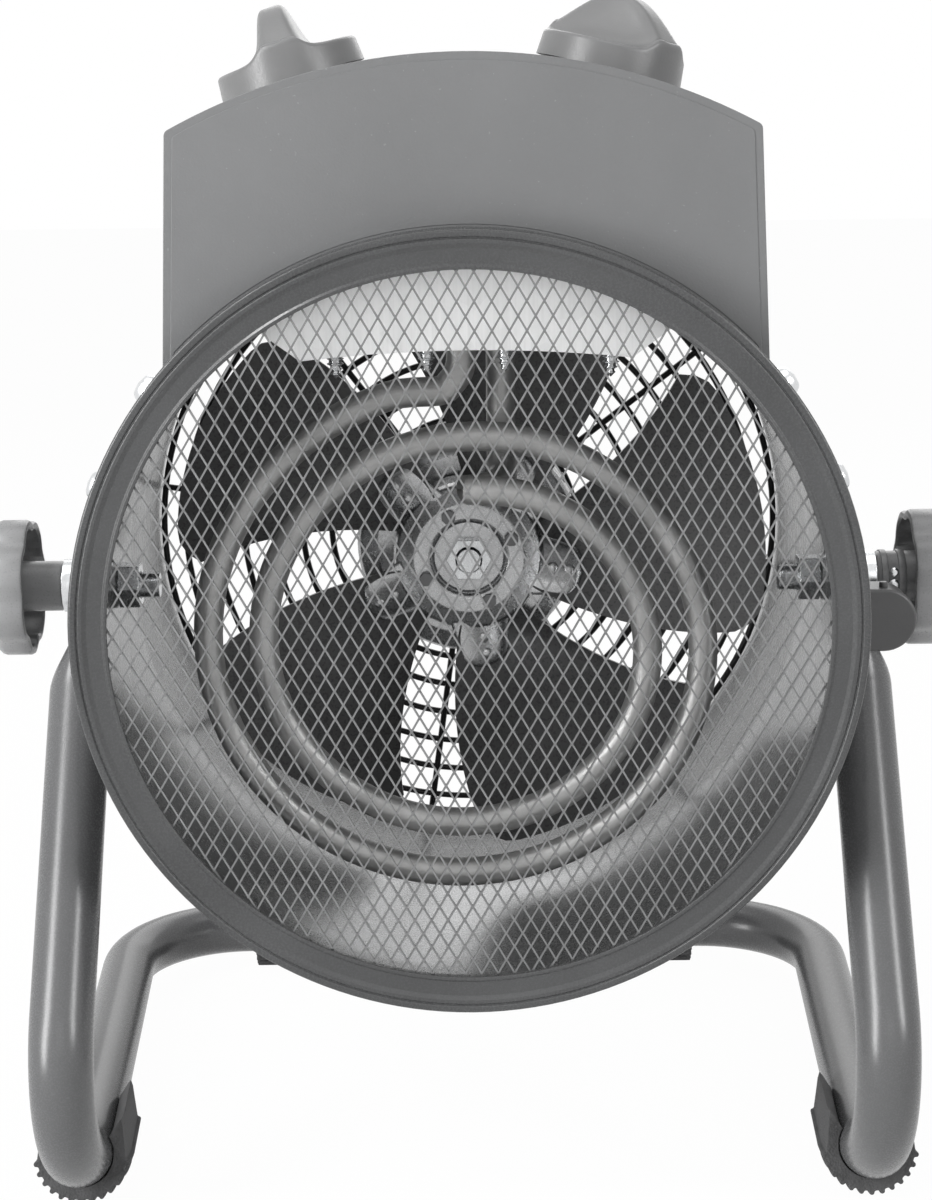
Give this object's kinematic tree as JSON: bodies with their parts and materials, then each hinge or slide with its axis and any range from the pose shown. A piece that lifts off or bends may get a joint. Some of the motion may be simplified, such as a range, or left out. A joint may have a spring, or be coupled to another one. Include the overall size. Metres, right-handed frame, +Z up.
{
  "type": "forced air heater",
  "caption": "Round drum fan heater with an arched control box and spiral heating tube, tilting between the arms of a bent tube stand.",
  "frame": {"origin": "on the floor, at the middle of the heater's footprint", "axes": "+Z up; -Y is the way the warm air leaves the drum; +X to the right of someone facing the front"},
  "size_m": [0.2948, 0.2504, 0.3616],
  "materials": {
    "tube_paint": "satin grey paint",
    "drum_paint": "satin grey paint",
    "ring_paint": "fine textured grey paint",
    "box_paint": "fine textured light grey paint",
    "guard_black": "black wire",
    "mesh_zinc": "dull zinc",
    "galvanised": "bright galvanised sheet",
    "heater_steel": "oxidised stainless sheath",
    "cast_alloy": "cast alloy",
    "fan_paint": "dark grey",
    "zinc": "bright zinc",
    "rubber": "matt",
    "knob_plastic": "fine satin",
    "tilt_plastic": "satin",
    "dark_plastic": "satin"
  },
  "bodies": {
    "stand": {"foot_front_left": "rubber", "foot_front_right": "rubber", "foot_rear_left": "rubber", "foot_rear_right": "rubber", "stand_tube": "tube_paint"},
    "drum": {"cable_gland": "dark_plastic", "control_box_cover": "box_paint", "control_box_front": "box_paint", "control_box_rear": "box_paint", "drum_shell": "drum_paint", "element_bushing_front": "zinc", "element_bushing_rear": "zinc", "front_mesh": "mesh_zinc", "front_ring": "ring_paint", "heat_shield": "galvanised", "heating_element": "heater_steel", "motor_body": "cast_alloy", "motor_mount_plate": "galvanised", "motor_screw_1": "zinc", "motor_screw_2": "zinc", "motor_screw_3": "zinc", "motor_screw_4": "zinc", "pivot_bolt_left": "zinc", "pivot_bolt_right": "zinc", "pivot_nut_left": "zinc", "pivot_nut_right": "zinc", "pivot_spacer_left": "zinc", "pivot_spacer_right": "zinc", "pivot_washer_left": "zinc", "pivot_washer_right": "zinc", "rear_guard": "guard_black", "selector_unit": "dark_plastic", "shell_screw_1": "zinc", "shell_screw_2": "zinc", "shell_screw_3": "zinc", "shell_screw_4": "zinc", "shield_screw_1": "zinc", "shield_screw_2": "zinc", "shield_screw_3": "zinc", "shield_screw_4": "zinc", "terminal_block": "dark_plastic", "thermal_cutout": "dark_plastic", "thermostat_unit": "dark_plastic", "tilt_stop": "dark_plastic"},
    "fan": {"fan_nut": "zinc", "fan_rotor": "fan_paint", "hub_screw_1": "zinc", "hub_screw_2": "zinc", "hub_screw_3": "zinc", "hub_screw_4": "zinc", "motor_shaft": "zinc"},
    "selector": {"selector_knob": "knob_plastic", "selector_shaft": "zinc"},
    "thermostat": {"thermostat_knob": "knob_plastic", "thermostat_shaft": "zinc"},
    "left_clamp": {"tilt_knob_left": "tilt_plastic"},
    "right_clamp": {"tilt_knob_right": "tilt_plastic"}
  },
  "joints": [
    {"name": "tilt", "type": "hinge", "parent": "stand", "child": "drum", "pos_m": [0, -0.03858, 0.184], "axis": [-1, 0, 0], "range_deg": [0, 60]},
    {"name": "fan_spin", "type": "hinge", "parent": "drum", "child": "fan", "pos_m": [0, 0.00742, 0.184], "axis": [0, 1, 0], "continuous": true},
    {"name": "selector_turn", "type": "hinge", "parent": "drum", "child": "selector", "pos_m": [-0.05, -0.04443, 0.33666], "axis": [0.2874, 0, -0.9578], "range_deg": [0, 270]},
    {"name": "thermostat_turn", "type": "hinge", "parent": "drum", "child": "thermostat", "pos_m": [0.043, -0.04443, 0.3386], "axis": [-0.2471, 0, -0.969], "range_deg": [-110, 160]},
    {"name": "left_clamp_turn", "type": "hinge", "parent": "drum", "child": "left_clamp", "pos_m": [-0.13, -0.03858, 0.184], "axis": [-1, 0, 0], "range_deg": [0, 360]},
    {"name": "right_clamp_turn", "type": "hinge", "parent": "drum", "child": "right_clamp", "pos_m": [0.13, -0.03858, 0.184], "axis": [1, 0, 0], "range_deg": [0, 360]}
  ]
}
